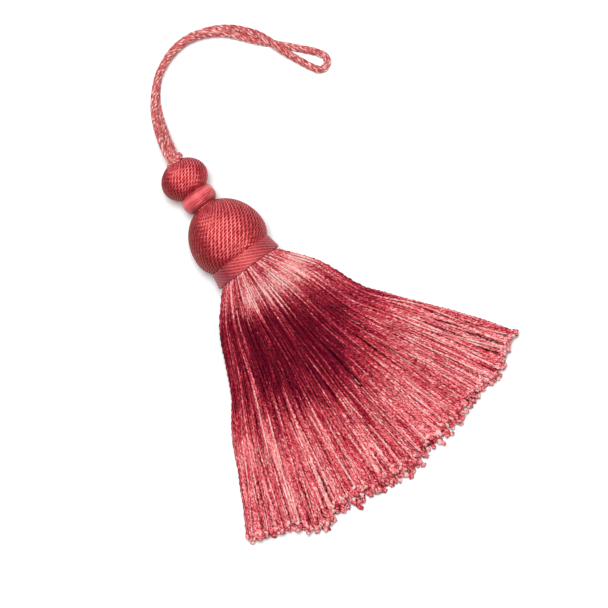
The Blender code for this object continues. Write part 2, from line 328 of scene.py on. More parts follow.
def ramp_up(value, low, high):
    """Smooth step from 0 to 1."""
    t = np.clip((value - low) / (high - low), 0, 1)
    return t * t * (3 - 2 * t)


def ripple(turns):
    """Smooth wave that is 0 at every whole turn and 1 halfway between two."""
    return (1 - np.cos(2 * math.pi * turns)) / 2


def unit(vectors):
    """Directions of vectors, each one long."""
    return vectors / np.maximum(np.linalg.norm(vectors, axis=-1, keepdims=True), 1e-9)


def carried_frames(paths):
    """Two directions across each path, carried along it without turning. paths is (count, points, 3)."""
    ahead = unit(np.gradient(paths, axis=1))
    side = np.empty_like(paths)
    first = np.cross(ahead[:, 0], [0.0, 0.0, 1.0])
    side[:, 0] = unit(first)
    for point in range(1, paths.shape[1]):
        last = side[:, point - 1]
        now = ahead[:, point]
        side[:, point] = unit(last - now * np.sum(last * now, axis=1, keepdims=True))
    return side, np.cross(side, ahead)


def in_frame(places):
    """Millimetres on the tassel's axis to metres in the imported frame, never below the table."""
    moved = np.asarray(places, float) + (HEAD_X, HEAD_Y, 0.0)
    moved[..., 2] = np.maximum(moved[..., 2], 0.02)
    return moved * MM


def tube_faces(count, rings, corners):
    """Quads of tubes, each a run of rings with the same corners."""
    ring = np.arange(rings - 1)[:, None] * corners
    corner = np.arange(corners)[None, :]
    near, far = ring + corner, ring + (corner + 1) % corners
    quads = np.stack([near, far, far + corners, near + corners], axis=-1)
    tube = np.arange(count)[:, None, None] * rings * corners
    return (quads.reshape(1, -1, 4) + tube).reshape(-1, 4)


def end_faces(count, rings, corners):
    """One face for each end of each tube."""
    corner = np.arange(corners)[None, :]
    tube = np.arange(count)[:, None] * rings * corners
    return np.concatenate([tube + corner[:, ::-1], tube + (rings - 1) * corners + corner])


def tube_piece(name, places, finish, readings):
    """Mesh object of closed tubes, with a number at every point for each reading.

    places is (tubes, rings, corners, 3), in millimetres on the tassel's axis.
    """
    count, rings, corners = places.shape[:3]
    sides = tube_faces(count, rings, corners)
    ends = end_faces(count, rings, corners)
    order = np.concatenate([sides.ravel(), ends.ravel()]).astype(np.int32)
    sizes = np.repeat([4, corners], [len(sides), len(ends)]).astype(np.int32)
    mesh = bpy.data.meshes.new(name)
    mesh.vertices.add(count * rings * corners)
    mesh.vertices.foreach_set("co", in_frame(places).astype(np.float32).ravel())
    mesh.loops.add(len(order))
    mesh.loops.foreach_set("vertex_index", order)
    mesh.polygons.add(len(sizes))
    mesh.polygons.foreach_set("loop_start", (np.cumsum(sizes) - sizes).astype(np.int32))
    mesh.polygons.foreach_set("loop_total", sizes)
    mesh.polygons.foreach_set("use_smooth", np.ones(len(sizes), bool))
    mesh.update(calc_edges=True)
    mesh.validate()
    for key, values in readings.items():
        attribute = mesh.attributes.new(key, "FLOAT", "POINT")
        spread = np.broadcast_to(values, places.shape[:3]).astype(np.float32)
        attribute.data.foreach_set("value", spread.ravel())
    mesh.materials.append(finish)
    piece = bpy.data.objects.new(name, mesh)
    bpy.context.scene.collection.objects.link(piece)
    return piece


class Finish:
    """Node material of a thread, built up step by step."""

    def __init__(self, name, roughness, gloss, glint=(1.0, 0.5, 0.48)):
        self.material = bpy.data.materials.new(name)
        self.material.use_nodes = True
        self.nodes = self.material.node_tree.nodes
        self.links = self.material.node_tree.links
        self.shader = self.nodes["Principled BSDF"]
        self.shader.inputs["Roughness"].default_value = roughness
        self.shader.inputs["Specular IOR Level"].default_value = min(gloss, 1.0)
        self.shader.inputs["IOR"].default_value = 1.5 + 0.4 * max(gloss - 1.0, 0.0)
        self.shader.inputs["Specular Tint"].default_value = (*glint, 1.0)

    def fill(self, sockets, values):
        """Sets each socket to its number or colour, or links it."""
        for socket, value in zip(sockets, values):
            if isinstance(value, (int, float)):
                socket.default_value = value
            elif isinstance(value, tuple):
                socket.default_value = (*value, 1.0)
            else:
                self.links.new(value, socket)

    def reading(self, key):
        node = self.nodes.new("ShaderNodeAttribute")
        node.attribute_name = key
        return node.outputs["Fac"]

    def reckon(self, operation, first, second):
        node = self.nodes.new("ShaderNodeMath")
        node.operation = operation
        self.fill(node.inputs, (first, second))
        return node.outputs[0]

    def plus(self, first, second):
        return self.reckon("ADD", first, second)

    def minus(self, first, second):
        return self.reckon("SUBTRACT", first, second)

    def times(self, first, second):
        return self.reckon("MULTIPLY", first, second)

    def not_below(self, value, least):
        return self.reckon("MAXIMUM", value, least)

    def swing(self, value, middle, amount):
        """How far a value is above or below its middle, times an amount."""
        return self.times(self.minus(value, middle), amount)

    def place(self, x, y, z):
        node = self.nodes.new("ShaderNodeCombineXYZ")
        self.fill(node.inputs, (x, y, z))
        return node.outputs[0]

    def body_place(self):
        return self.nodes.new("ShaderNodeTexCoord").outputs["Object"]

    def noise(self, place, scale, detail=2.0):
        node = self.nodes.new("ShaderNodeTexNoise")
        node.inputs["Scale"].default_value = scale
        node.inputs["Detail"].default_value = detail
        self.links.new(place, node.inputs["Vector"])
        return node.outputs["Fac"]

    def ramp(self, share, stops):
        node = self.nodes.new("ShaderNodeValToRGB")
        elements = node.color_ramp.elements
        while len(elements) < len(stops):
            elements.new(0.5)
        for element, (at, colour) in zip(elements, stops):
            element.position = at
            element.color = (*colour, 1.0)
        self.links.new(share, node.inputs["Fac"])
        return node.outputs["Color"]

    def blend(self, share, first, second, kind="MIX"):
        node = self.nodes.new("ShaderNodeMix")
        node.data_type = "RGBA"
        node.blend_type = kind
        self.fill((node.inputs[0], node.inputs[6], node.inputs[7]), (share, first, second))
        return node.outputs[2]

    def fine_relief(self, height, strength, distance):
        bump = self.nodes.new("ShaderNodeBump")
        bump.inputs["Strength"].default_value = strength
        bump.inputs["Distance"].default_value = distance
        self.links.new(height, bump.inputs["Height"])
        self.links.new(bump.outputs["Normal"], self.shader.inputs["Normal"])

    def coloured(self, colour):
        """The finished material, in this colour."""
        self.links.new(colour, self.shader.inputs["Base Color"])
        return self.material


def cover_finish(name, head):
    """Silky thread over a ball: coral on its loops, with painted highlights on them and painted shade in
    its pits.
    """
    made = Finish(name, 0.4, 1.7, (1.0, 0.2, 0.15))
    reach, turn, side = made.reading("reach"), made.reading("turn"), made.reading("side")
    fibres = made.noise(made.place(reach, turn, 0.0), 3.0, 4.0)
    loops = made.noise(made.place(reach, turn, 5.0), 0.9, 1.0)
    depth = made.plus(made.reading("depth"), made.swing(fibres, 0.5, 0.3))
    depth = made.plus(depth, made.swing(loops, 0.5, 1.1))
    depth = made.plus(depth, made.times(side, 0.26))
    crest, pit = tuple(head.cover_colour), tuple(head.pit_shade_colour)
    # A painted highlight on the loops and painted shade in the pits; the side reading adds painted shade
    # where the ball turns from the lamp
    light = tuple(min(1.0, c * 2.05 + 0.07) for c in crest)
    colour = made.ramp(depth, ((0.0, light), (0.28, crest), (0.46, pit)))
    colour = made.blend(side, colour, (0.62, 0.2, 0.56), "MULTIPLY")
    patches = made.noise(made.body_place(), 160.0)
    colour = made.blend(made.times(patches, 0.16), colour, (0.3, 0.03, 0.05))
    made.fine_relief(fibres, 0.35, 0.00006)
    return made.coloured(colour)


def floss_finish(name, head, wind, gloss, contrast, shade):
    """Smooth wound floss, with fine threads side by side, painted highlights on them and painted shade
    between them.

    wind says how fast the threads change round the head, contrast how far they differ in tone, and
    shade (0 to 1) how far the floss darkens where it is turned from the lamp.
    """
    made = Finish(name, 0.4, gloss, (1.0, 0.3, 0.25))
    turn = made.times(made.reading("turn"), wind)
    threads = made.noise(made.place(turn, made.reading("reach"), 0.0), 3.0, 2.0)
    depth = made.plus(made.reading("depth"), made.swing(threads, 0.5, contrast))
    crest = tuple(head.floss_colour)
    # Painted shade between the threads and at the edges, a painted highlight on the threads, and painted
    # shade where the floss turns from the lamp
    shade_colour = tuple(c * 0.3 for c in crest)
    light = tuple(min(1.0, c * (1.45 - 0.15 * shade) + 0.05 - 0.03 * shade) for c in crest)
    away = tuple(1 - fall * shade for fall in (0.5, 0.68, 0.45))
    colour = made.ramp(depth, ((0.0, light), (0.35, crest), (0.9, shade_colour)))
    colour = made.blend(made.reading("side"), colour, away, "MULTIPLY")
    made.fine_relief(threads, 0.3, 0.00008)
    return made.coloured(colour)


def yarn_finish(name, skirt, gloss, groove_depth):
    """Space-dyed silky yarn: each yarn carries its own dye, with flecks of uneven dye and painted glints
    along its plies.
    """
    made = Finish(name, 0.42, gloss, (1.0, 0.4, 0.4))
    own = made.reading("own")
    reach = made.plus(made.times(made.reading("reach"), 1.3), own)
    round_place = made.place(reach, made.reading("round_x"), made.reading("round_y"))
    # Flecks: uneven dye together with painted glints of the twisted plies
    flecks = made.noise(round_place, 1.0, 2.5)
    runs = made.noise(made.place(made.times(reach, 0.09), own, 9.0), 1.0, 1.0)
    shade = made.plus(made.swing(flecks, 0.5, 2.0), made.swing(runs, 0.5, 0.9))
    # Painted shade on the sides of each yarn that turn from the lamp overhead, and painted light on its
    # top
    groove = made.times(made.minus(0.7, made.reading("rise")), groove_depth)
    groove = made.minus(groove, 0.1)
    dye = made.plus(made.plus(made.reading("dye"), shade), groove)
    colour = made.ramp(dye, (
        (0.0, tuple(skirt.pale)),
        (0.3, tuple(skirt.rose)),
        (0.62, tuple(skirt.red)),
        (1.0, tuple(skirt.crimson)),
    ))
    warm = made.noise(made.place(own, made.times(reach, 0.3), 3.0), 0.8, 1.0)
    warmth = made.ramp(warm, ((0.46, (0.0, 0.0, 0.0)), (0.66, (0.4, 0.4, 0.4))))
    warmth = made.times(warmth, made.not_below(made.minus(1.0, dye), 0.0))
    colour = made.blend(warmth, colour, (0.72, 0.08, 0.055))
    patches = made.noise(made.body_place(), 60.0)
    colour = made.blend(made.times(patches, 0.1), colour, (0.45, 0.03, 0.12))
    made.fine_relief(flecks, 0.4, 0.0001)
    return made.coloured(colour)


def cord_finish(name, cord):
    """Twisted red cord with pale flecks along its plies, pale yarn and painted highlights together, and
    painted shade in its grooves.
    """
    made = Finish(name, 0.45, 0.5, (1.0, 0.5, 0.45))
    reach = made.times(made.reading("reach"), 0.85)
    round_x, round_y = made.reading("round_x"), made.reading("round_y")
    flecks = made.noise(made.place(reach, round_x, round_y), 1.0, 1.5)
    deeper = made.noise(made.place(made.plus(reach, 31.0), round_x, round_y), 1.15, 1.0)
    crest = tuple(cord.cord_colour)
    # Painted shade in the grooves between the plies; the pale flecks, pale yarn and painted highlights
    # together, stay on the crowns
    shade_colour = tuple(c * fall for c, fall in zip(crest, (0.62, 0.3, 0.32)))
    depth = made.plus(made.reading("depth"), made.swing(deeper, 0.47, 3.4))
    colour = made.ramp(depth, ((0.05, crest), (0.75, shade_colour)))
    light = made.ramp(flecks, ((0.52, (0.0, 0.0, 0.0)), (0.64, (1.0, 1.0, 1.0))))
    crown = made.minus(1.0, made.times(made.reading("depth"), 0.8))
    share = made.not_below(made.times(light, crown), 0.0)
    colour = made.blend(share, colour, tuple(cord.cord_pale_and_highlight))
    made.fine_relief(flecks, 0.3, 0.00008)
    return made.coloured(colour)


def floor_finish(tone):
    """Plain pale floor with a faint grain."""
    made = Finish("pale_floor", 0.9, 0.1)
    grain = made.noise(made.body_place(), 30.0)
    near = tuple(c * 0.985 for c in tone)
    return made.coloured(made.ramp(grain, ((0.3, near), (0.7, tone))))


def settled_piece(piece, node):
    """Fixes a piece to the body, as the stand-in for a solid."""
    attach(piece, "root")
    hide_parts(node)


def meridian(radius, widest, rises, ends, least, step):
    """Even points (radius, along) down one side of a rounded form.

    rises are its half lengths above and below its widest place, ends say where the line starts and
    stops, and least is the smallest radius that it comes in to.
    """
    sweep = np.linspace(0, 1, 1200)
    along = ends[0] + (ends[1] - ends[0]) * (1 - np.cos(math.pi * sweep)) / 2
    rise = np.where(along > widest, rises[0], rises[1])
    side = radius * np.sqrt(np.clip(1 - ((along - widest) / rise) ** 2, 0, 1))
    line = np.stack([np.maximum(side, least), along, np.zeros_like(along)], axis=1)
    return even_line(line, step)[:, :2]


def outward(line):
    """Outward directions of a line of (radius, along) points that runs from the top down."""
    ahead = unit(np.gradient(line, axis=0))
    return np.stack([-ahead[:, 1], ahead[:, 0]], axis=1)


def away_from_lamp(out, turn):
    """Painted shade for a turned surface: how far it looks away from the lamp, which stands over the
    cord's side of it, less the painted light where its top faces the cord.
    """
    left = 1 + 0.9 * ramp_up(-out[:, :1] * np.cos(turn), 0.0, 0.8)
    tilt = 1 - out[:, :1] * np.sin(turn)
    side = left * (0.72 * ramp_up(tilt, 0.0, 0.34) + 0.1 * ramp_up(tilt, 0.3, 1.0)) + 0.25 * (left - 1)
    painted_upper_light = 0.55 * np.maximum(out[:, 1:], 0) * ramp_up(np.sin(turn), 0.2, 0.9)
    return side - painted_upper_light


def turned_piece(name, line, columns, corners, relief, drift, finish):
    """Form turned about the head's axis, its surface sunk by the grooves between its threads.

    line holds (radius, along) points and drift the turn of the columns at each. relief gives the
    height and the depth of the painted shade in pits and grooves from a column number, a reach down the
    line and a radius.
    """
    reach = run_along(line)[:, None]
    column = (np.arange(columns * corners) / corners)[None, :]
    height, depth = relief(column, reach, line[:, :1])
    out = outward(line)
    radius = line[:, :1] + out[:, :1] * height
    along = line[:, 1:] + out[:, 1:] * height
    turn = 2 * math.pi * column / columns + drift[:, None]
    x, z = radius * np.cos(turn), AXIS_HEIGHT + radius * np.sin(turn)
    places = np.stack(np.broadcast_arrays(x, along, z), axis=-1)
    # side is painted shade where the surface turns from the lamp; depth is painted shade in pits and
    # grooves, and the ring's painted highlight
    readings = {
        "side": away_from_lamp(out, turn),
        "depth": depth,
        "reach": reach,
        "turn": column * 2 * math.pi * line[:, 0].max() / columns,
    }
    return tube_piece(name, places[None], finish, readings)


def column_drift(line, slant, least):
    """Turn of slanting columns down a line, so that they keep one angle to the axis."""
    steps = np.linalg.norm(np.diff(line, axis=0), axis=1)
    middle = np.maximum((line[1:, 0] + line[:-1, 0]) / 2, least)
    return math.tan(slant) * np.concatenate([[0], np.cumsum(steps / middle)])


def looped_relief(loop, groove, full_radius):
    """Columns of thread loops, with a pit where a groove meets the end of a loop.

    The pits of each column stand half a loop further down than those of the column before it.
    """

    def relief(column, reach, radius):
        room = np.clip(radius / full_radius, 0.25, 1.0)
        valley = ripple(column)
        dip = ripple(reach / loop - column / 2)
        pit = np.clip(2.6 * valley * dip**0.8 - 0.3, 0, 1)
        height = -groove * room * (0.1 * valley + 0.1 * dip + 0.8 * pit)
        # The second number darkens the colour: painted shade in the pits
        return height, np.clip(1.3 * pit + 0.1 * dip, 0, 1)

    return relief


def banded_relief(pitch, groove):
    """Fine threads wound straight round: painted shade between them and at the edges, most by the large
    ball, and a painted highlight above the middle.
    """

    def relief(column, reach, radius):
        wave = ripple(reach / pitch)
        down = reach / reach.max()
        painted_edge_shade = 0.6 * ramp_up(down, 0.6, 1.0) + 0.15 * (1 - ramp_up(down, 0.0, 0.2))
        painted_shine = 0.45 * np.exp(-(((down - 0.36) / 0.1) ** 2))
        return -groove * wave, wave * 0.35 + 0.22 + painted_edge_shade - painted_shine

    return relief


def collar_relief(groove):
    """Rounded threads side by side, which fade out inside the collar."""

    def relief(column, reach, radius):
        wave = ripple(column)
        outside = np.clip((radius - COLLAR_INSIDE) / 0.4, 0, 1)
        # The second number darkens the colour between the threads: painted shade in the grooves
        return -groove * wave**1.4 * outside, wave**1.3 * 0.7

    return relief


class TASSEL_OT_stage(bpy.types.Operator):
    """Set the camera, the pale floor and the soft light"""

    bl_idname = "tassel.stage"
    bl_label = "Stage"

    def execute(self, context):
        stage = context.scene.tassel_stage
        camera = bpy.data.cameras.new("camera")
        camera.lens = LENS
        camera.sensor_width = SENSOR
        seat = bpy.data.objects.new("camera", camera)
        seat.location = (*CAMERA_PLACE, stage.camera_height)
        seat.rotation_euler = (0.0, 0.0, stage.camera_turn)
        context.scene.collection.objects.link(seat)
        context.scene.camera = seat
        mesh = bpy.data.meshes.new("floor")
        corners = [(FLOOR_HALF * x, FLOOR_HALF * y, 0) for x, y in ((-1, -1), (1, -1), (1, 1), (-1, 1))]
        mesh.from_pydata(corners, [], [(0, 1, 2, 3)])
        mesh.materials.append(floor_finish(tuple(stage.floor_colour)))
        floor = bpy.data.objects.new("floor", mesh)
        floor.location.z = -FLOOR_DROP
        context.scene.collection.objects.link(floor)
        lamp = bpy.data.lights.new("overhead_light", "AREA")
        lamp.shape = "DISK"
        lamp.size = LAMP_WIDTH
        lamp.energy = stage.lamp_power
        holder = bpy.data.objects.new("overhead_light", lamp)
        holder.location = LAMP_PLACE
        holder.rotation_euler = Vector(LAMP_PLACE).to_track_quat("Z", "Y").to_euler()
        context.scene.collection.objects.link(holder)
        world = bpy.data.worlds.new("studio")
        world.use_nodes = True
        back = world.node_tree.nodes["Background"]
        back.inputs["Color"].default_value = (1.0, 1.0, 1.0, 1.0)
        back.inputs["Strength"].default_value = stage.room_light
        context.scene.world = world
        context.scene.view_settings.view_transform = "Standard"
        return {"FINISHED"}


def pair_frame(share):
    """The cord pair at shares of its route: middle, heading, lift, turn and spread."""
    x, y, lift, turn, spread = smooth_rows(CORD_ROUTE, share).T
    ahead = smooth_rows(CORD_ROUTE, np.minimum(1, share + 0.01))[:, :2]
    behind = smooth_rows(CORD_ROUTE, np.maximum(0, share - 0.01))[:, :2]
    return np.stack([x, y], axis=1), unit(ahead - behind), np.maximum(0, lift), np.radians(turn), spread


def cord_leg(share, side):
    """Middle line of one leg of the pair."""
    place, along, lift, turn, spread = pair_frame(share)
    across = np.stack([-along[:, 1], along[:, 0]], axis=1)
    level = place + across * (side * spread / 2 * np.cos(turn))[:, None]
    height = CORD_REACH + lift + spread / 2 * (np.abs(np.sin(turn)) + side * np.sin(turn))
    return np.column_stack([level, height])


def cord_line(step):
    """The cord's middle line: out along one leg, round the eye's end and back along the other."""
    share = np.linspace(0, 1, 900)
    out, back = cord_leg(share, 1), cord_leg(share, -1)[::-1]
    centre = (out[-1] + back[0]) / 2
    _, along, _, _, spread = pair_frame(np.array([1.0]))
    swing = np.linspace(0, math.pi, 25)[1:-1, None]
    ahead = np.array([*along[0], 0.0])
    eye = centre + (out[-1] - centre) * np.cos(swing) + ahead * (spread[0] / 2 * np.sin(swing))
    return even_line(np.concatenate([out, eye, back]), step)


def roped_piece(name, line, reach, lay, plies, corners, finish):
    """Cord of plies laid round each other, with the slanting yarns of each ply."""
    side, up = (across[0][:, None] for across in carried_frames(line[None]))
    run = run_along(line)[:, None]
    lobe = 0.7 * reach
    round_ply = reach - lobe
    angle = np.arange(corners)[None, :] * 2 * math.pi / corners
    off = (angle * plies / (2 * math.pi) + 0.5) % 1 - 0.5
    swing = off * 2 * math.pi / plies
    radius = lobe * np.cos(swing) + np.sqrt(np.maximum(round_ply**2 - (lobe * np.sin(swing)) ** 2, 0.01))
    low = radius.min() / reach
    depth = np.clip((1 - radius / reach) / (1 - low), 0, 1) ** 1.4
    yarns = ripple(run / PLY_YARN_PITCH + 0.8 * off)
    radius = radius - 0.04 * reach * yarns
    turn = (angle + 2 * math.pi * run / lay)[..., None]
    places = line[:, None] + radius[..., None] * (np.cos(turn) * side + np.sin(turn) * up)
    # depth is painted shade in the grooves between the plies and between their yarns
    readings = {
        "depth": np.clip(0.6 * depth + 0.2 * yarns, 0, 1),
        "reach": run,
        "round_x": 2.3 * np.cos(angle),
        "round_y": 2.3 * np.sin(angle),
    }
    return tube_piece(name, places[None], finish, readings)


class TASSEL_OT_cord(bpy.types.Operator):
    """Lay the doubled hanging cord and its eye"""

    bl_idname = "tassel.cord"
    bl_label = "Hanging Cord"

    def execute(self, context):
        cord = context.scene.tassel_cord
        finish = cord_finish("cord_yarn", cord)
        line = cord_line(CORD_STEP)
        piece = roped_piece("hanging_cord_yarn", line, ROPE_RADIUS, -cord.lay / MM, CORD_PLIES, 36, finish)
        settled_piece(piece, "hanging_cord")
        path = in_frame(cord_line(CORD_PATH_STEP))
        return {"FINISHED"}


class TASSEL_OT_knot(bpy.types.Operator):
    """Wrap the knot of twisted thread round the foot of the cord"""

    bl_idname = "tassel.knot"
    bl_label = "Top Knot"

    def execute(self, context):
        finish = cord_finish("knot_thread", context.scene.tassel_cord)
        share = np.linspace(0, 1, 160)
        turn = 2 * math.pi * KNOT_TURNS * share + 0.6
        radius = np.interp(share, (0, 1), KNOT_RADII)
        x = KNOT_ASIDE + radius * np.cos(turn)
        along = KNOT_ALONG + 0.6 * share + 0.3 * np.cos(turn)
        height = AXIS_HEIGHT + KNOT_LIFT + KNOT_FLATNESS * radius * np.sin(turn)
        line = even_line(np.stack([x, along, height], axis=1), 0.16)
        piece = roped_piece("top_knot_thread", line, KNOT_THREAD_RADIUS, -KNOT_LAY, KNOT_PLIES, 30, finish)
        settled_piece(piece, "top_knot")
        return {"FINISHED"}


def covered_ball(word, line, columns, groove, radius, least):
    """Looped thread round a ball.

    Near its ends, the columns turn no faster than they would at the least radius.
    """
    head = bpy.context.scene.tassel_head
    relief = looped_relief(head.loop_length / MM, groove / MM, radius)
    drift = column_drift(line, head.column_slant, least)
    finish = cover_finish(word + "_ball_cover", head)
    return turned_piece(word + "_ball_threads", line, columns, 8, relief, drift, finish)


class TASSEL_OT_small_ball(bpy.types.Operator):
    """Cover the small ball with looped thread"""

    bl_idname = "tassel.small_ball"
    bl_label = "Small Ball"

    def execute(self, context):
        head = context.scene.tassel_head
        line = meridian(BEAD_RADIUS, BEAD_WIDEST, BEAD_RISES, BEAD_ENDS, BEAD_END_RADIUS, 0.17)
        piece = covered_ball("small", line, head.bead_columns, 0.9 * head.groove_depth, BEAD_RADIUS, 3.2)
        settled_piece(piece, "ball_small")
        return {"FINISHED"}


class TASSEL_OT_large_ball(bpy.types.Operator):
    """Cover the large ball with looped thread"""

    bl_idname = "tassel.large_ball"
    bl_label = "Large Ball"

    def execute(self, context):
        head = context.scene.tassel_head
        line = meridian(BALL_RADIUS, BALL_WIDEST, BALL_RISES, BALL_ENDS, BALL_END_RADIUS, 0.18)
        piece = covered_ball("large", line, head.ball_columns, head.groove_depth, BALL_RADIUS, 4.0)
        settled_piece(piece, "ball_large")
        return {"FINISHED"}


class TASSEL_OT_neck_ring(bpy.types.Operator):
    """Wind the satin floss ring between the two balls"""

    bl_idname = "tassel.neck_ring"
    bl_label = "Neck Ring"

    def execute(self, context):
        sweep = np.linspace(0, math.pi, 200)
        edge, crest = RING_RADII
        radius = edge + (crest - edge) * np.sin(sweep) ** 0.9
        along = RING_MIDDLE + RING_HALF * np.cos(sweep)
        line = even_line(np.stack([radius, along, 0 * along], axis=1), 0.1)[:, :2]
        finish = floss_finish("ring_floss", context.scene.tassel_head, 0.12, 0.7, 1.4, 0.0)
        relief = banded_relief(RING_THREAD_PITCH, RING_THREAD_GROOVE)
        piece = turned_piece("neck_ring_floss", line, 24, 4, relief, np.zeros(len(line)), finish)
        settled_piece(piece, "neck_ring")
        return {"FINISHED"}


class TASSEL_OT_collar(bpy.types.Operator):
    """Bind the collar with its slanting threads"""

    bl_idname = "tassel.collar"
    bl_label = "Collar"

    def execute(self, context):
        head = context.scene.tassel_head
        line = even_line([(*point, 0.0) for point in COLLAR_OUTSIDE], 0.2)[:, :2]
        drift = line[:, 1] / (COLLAR_RADIUS * math.tan(COLLAR_SLANT))
        finish = floss_finish("collar_gimp", head, 0.5, 1.2, 2.0, 1.0)
        relief = collar_relief(COLLAR_GROOVE)
        piece = turned_piece("collar_threads", line, head.collar_threads, 10, relief, drift, finish)
        settled_piece(piece, "collar")
        return {"FINISHED"}


def disc_place(share):
    """Sideways places in a unit disc that leave these shares (-1 to 1) of its area to one side."""
    place = np.linspace(-1, 1, 2001)
    area = 2 / math.pi * (place * np.sqrt(1 - place**2) + np.arcsin(place))
    return np.interp(share, area, place)


def fan_edge(share, table):
    """Smooth reading of a fan table at shares of a yarn's length."""
    slopes = np.gradient(table, STATIONS)
    first = np.clip(np.searchsorted(STATIONS, share, side="right") - 1, 0, len(STATIONS) - 2)
    low, high = np.take(STATIONS, first), np.take(STATIONS, first + 1)
    start, end = np.take(table, first), np.take(table, first + 1)
    width = high - low
    t = np.clip((share - low) / width, 0, 1)
    return (
        (2 * t**3 - 3 * t**2 + 1) * start
        + (t**3 - 2 * t**2 + t) * width * np.take(slopes, first)
        + (3 * t**2 - 2 * t**3) * end
        + (t**3 - t**2) * width * np.take(slopes, first + 1)
    )


class YarnLot:
    """A lot of yarns that are laid together: their places, thickness and dye.

    shares (-1 to 1) say where the yarns are across the skirt, levels (0 to 1) how high in its pile, step
    is the distance between their rings, and gather says how far they draw into clumps. A lot that
    doesn't gather is the thicker filling inside the skirt.
    """

    def __init__(self, shares, levels, chance, step, skirt, gather):
        count = len(shares)
        self.chance = chance
        self.width = skirt.yarn_width / MM * (1.0 if gather else 1.6)
        self.share = shares
        self.level = levels
        self.gather = gather
        longer = HIDDEN_LONGER * (1 - levels) * np.maximum(0, 1 - np.abs(shares / 0.8) ** 3)
        hem = 2.5 + 1.3 * np.exp(-(((shares + 0.35) / 0.5) ** 2))
        hem = hem + 0.7 * np.sin(shares * 61 + 1.3) * np.sin(shares * 23 + 0.4)
        for middle, reach, extra in TUFTS:
            hem = hem + extra * np.exp(-(((shares - middle) / reach) ** 2))
        length = STRAND_LENGTH + EDGE_LONGER * shares**2 + longer + hem
        self.length = length + chance.normal(0, 0.5, count)
        self.curl = skirt.curl_length / MM * chance.uniform(0.5, 1.3, count)
        total = float((self.length + ROOT_LEAD).max())
        self.rings = int(total / step) + 1
        self.shift = chance.normal(0, 0.012 if gather else 0.004, count)
        crossing = chance.random(count) < (0.16 if gather else 0.0)
        self.cross = np.where(crossing, chance.uniform(-0.13, 0.13, count), 0.0)
        self.raised = np.where(crossing & (levels > 0.7), 0.35, 0.0)
        self.waves = chance.uniform(0, 2 * math.pi, (4, count))
        self.pace = chance.uniform(0.8, 2.6, (4, count))
        self.clump = np.round(shares * 26 + 0.35 * np.sin(shares * 50)) / 26
        self.own = chance.random(count)
        self.tight = chance.normal(1, 0.1, count)
        reach = np.linspace(0, 1, self.rings)[None, :]
        self.run = -ROOT_LEAD + reach * (self.length + ROOT_LEAD)[:, None]
        self.down = np.clip(self.run / self.length[:, None], 0, 1)

    def settle(self, deeper):
        """Works out the middle lines of the yarns and their dye, deeper by the given amount."""
        self.lines = self.places()
        self.tone = self.dye() + deeper

    def edge(self):
        """Where each yarn is across the skirt, down its length: in clumps, strayed and crossed."""
        s = self.down
        share = self.share[:, None]
        gather = self.gather * ramp_up(s, 0.25, 0.8) * (1 - 0.5 * ramp_up(s, 0.8, 1.0))
        calm = 1 - 0.5 * ramp_up(share, 0.35, 0.9)
        share = share + (self.clump[:, None] - share) * gather * calm
        strayed = calm * self.shift[:, None] * ramp_up(s, 0.0, 0.5)
        crossed = self.cross[:, None] * (s - 0.35) * ramp_up(s, 0.02, 0.3)
        return np.clip(share + strayed + crossed, -1, 1)

    def places(self):
        """Middle lines of the yarns, (count, rings, 3), in millimetres."""
        s = self.down
        edge = self.edge()
        root = disc_place(edge * ROOT_SHARE)
        rise = ROOT_RADIUS * np.sqrt(1 - root**2)
        pile = HEM_PILE + (2 * rise - HEM_PILE) * (1 - s) ** PILE_FALL
        half = self.width / 2
        fall = np.maximum(0, 1 - s / SETTLED) ** UNDERSIDE_FALL
        under = half + (AXIS_HEIGHT - rise - half) * fall
        height = under + self.level[:, None] * pile
        fan = np.where(edge > 0, fan_edge(s, FAN_RIGHT), fan_edge(s, FAN_LEFT))
        neck = np.interp(self.run, *zip(*NECK))
        x = (ROOT_RADIUS * root + fan * edge) * neck
        height = AXIS_HEIGHT + (height - AXIS_HEIGHT) * neck
        grow = ramp_up(s, 0.0, 0.35)
        sway = [
            size * np.sin(bends * pace[:, None] * s + start[:, None])
            for (size, bends), pace, start in zip(SWAYS, self.pace, self.waves)
        ]
        x = x + grow * (sway[0] + sway[1])
        height = height + grow * (sway[2] + sway[3])
        height = np.maximum(height + self.raised[:, None] * grow, half)
        step = np.gradient(self.run, axis=1)
        dx, dz = np.gradient(x, axis=1), np.gradient(height, axis=1)
        dy = np.sqrt(np.maximum(step**2 - dx**2 - dz**2, (0.2 * step) ** 2))
        y = ROOT_ALONG + ROOT_LEAD - np.cumsum(dy, axis=1) + dy[:, :1]
        return self.curled(np.stack([x, y, height], axis=-1))

    def curled(self, line):
        """Turns the cut end of each yarn into a small hook."""
        count = len(line)
        step = np.linalg.norm(line[:, 1] - line[:, 0], axis=1)
        first = np.maximum(2, self.rings - np.ceil(self.curl / np.maximum(step, 0.05)).astype(int) - 1)
        ahead = unit(line[np.arange(count), first] - line[np.arange(count), first - 2])
        aim = self.chance.normal(0, 1, (count, 3)) * (1.0, 0.3, 0.8) + (0, 0, 0.25)
        across = unit(aim - ahead * np.sum(aim * ahead, axis=1, keepdims=True))
        swing = self.chance.uniform(0.3, 1.9, count) * np.sign(self.chance.uniform(-1, 1, count))
        made = line.copy()
        gap = np.linalg.norm(np.diff(line, axis=1), axis=-1)
        for ring in range(1, self.rings):
            held = ring > first
            part = np.clip((ring - first) / np.maximum(self.rings - 1 - first, 1), 0, 1)
            turn = (swing * part)[:, None]
            heading = ahead * np.cos(turn) + across * np.sin(turn)
            moved = made[:, ring - 1] + heading * gap[:, ring - 1][:, None] * 0.9
            made[held, ring] = moved[held]
        made[..., 2] = np.maximum(made[..., 2], self.width * 0.45)
        return made

